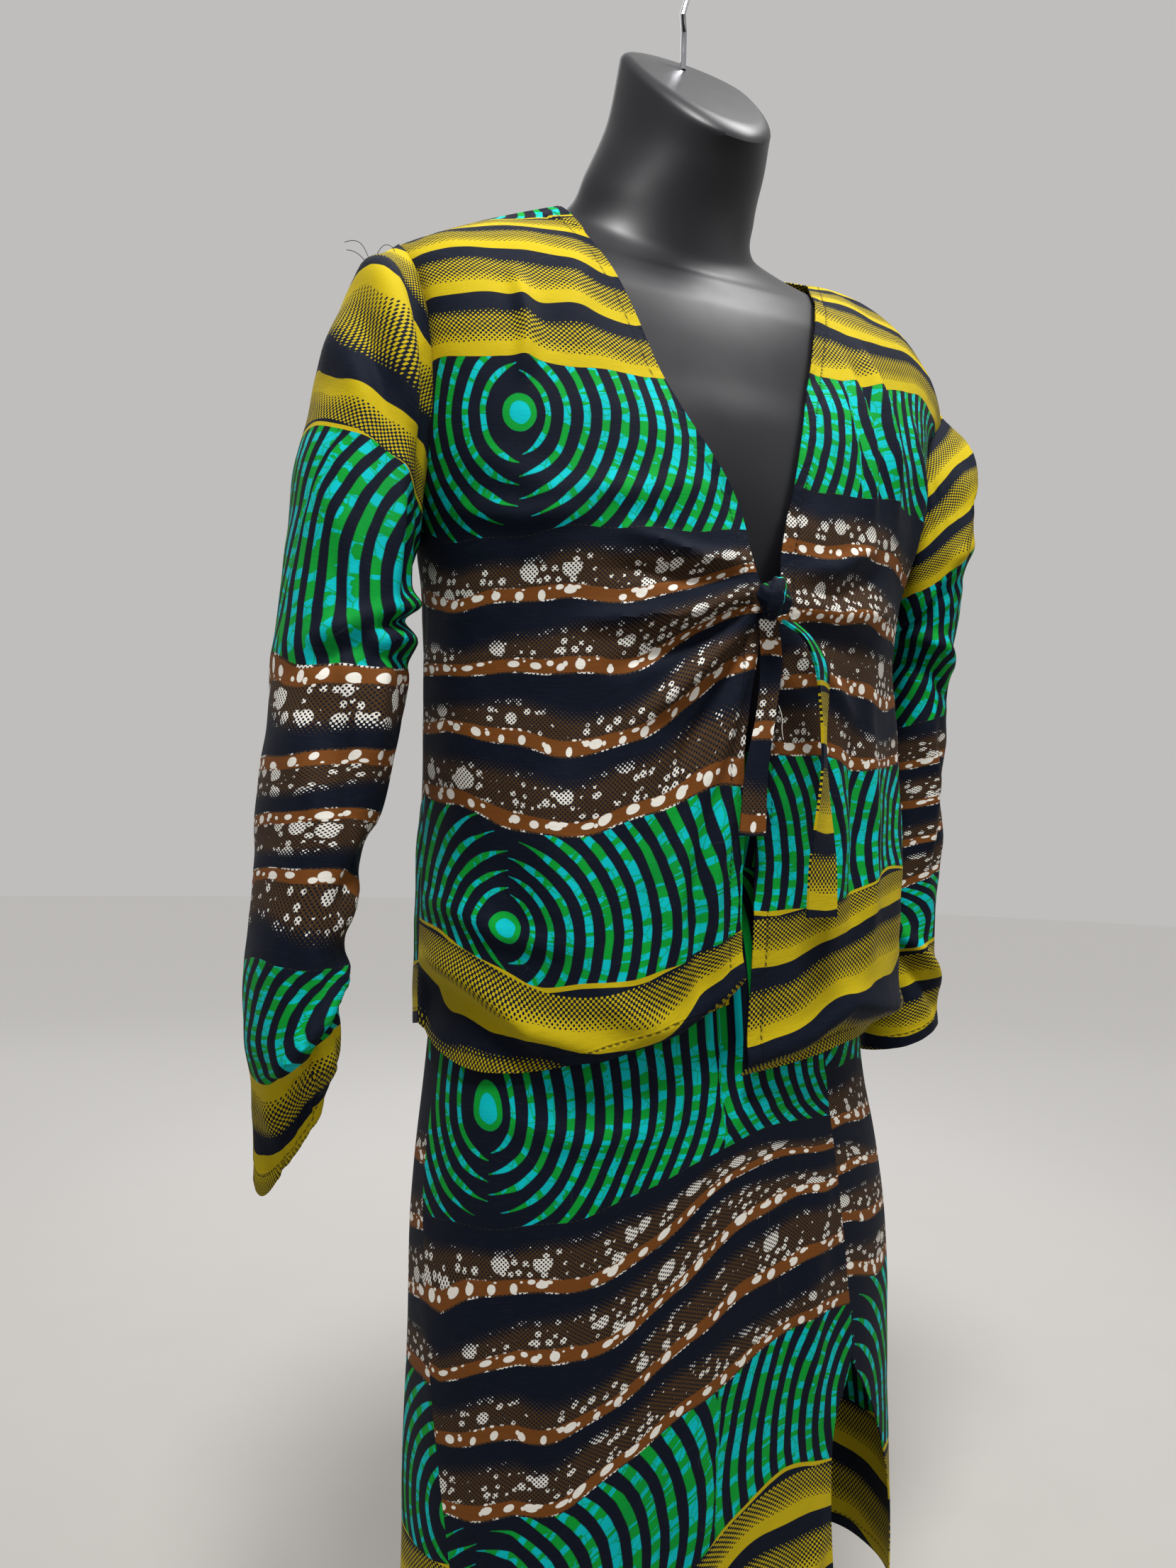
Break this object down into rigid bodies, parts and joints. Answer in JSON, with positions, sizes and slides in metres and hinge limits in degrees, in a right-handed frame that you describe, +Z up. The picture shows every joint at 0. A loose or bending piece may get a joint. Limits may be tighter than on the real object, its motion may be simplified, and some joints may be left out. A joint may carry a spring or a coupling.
{
  "type": "kitenge dress on a hanging torso form",
  "caption": "Printed cotton dress: a long-sleeved V-neck tie-front jacket over a slit skirt, hanging on a smooth black torso form with a hook.",
  "frame": {"origin": "inside top of the hook's bend, where it sits on a rail", "axes": "+Z up, the front of the dress faces -Y, the wearer's left is +X"},
  "size_m": [0.5514, 0.2494, 1.1743],
  "materials": {
    "printed_cotton": "matt printed cotton, navy ground with green and turquoise rings and mustard and brown wavy bands",
    "printed_cotton_skirt": "matt printed cotton, the same print",
    "tie_cotton": "matt printed cotton, yellow dots on navy",
    "black_plastic": "satin black moulded plastic",
    "chrome": "bright plated wire"
  },
  "bodies": {
    "root": {"hanging_hook": "chrome", "jacket_back": "printed_cotton", "jacket_front_left": "printed_cotton", "jacket_front_right": "printed_cotton", "skirt_back": "printed_cotton_skirt", "skirt_front": "printed_cotton_skirt", "sleeve_left": "printed_cotton", "sleeve_right": "printed_cotton", "tie_end_long": "tie_cotton", "tie_end_short": "tie_cotton", "tie_knot": "tie_cotton", "torso_form": "black_plastic"}
  },
  "joints": []
}
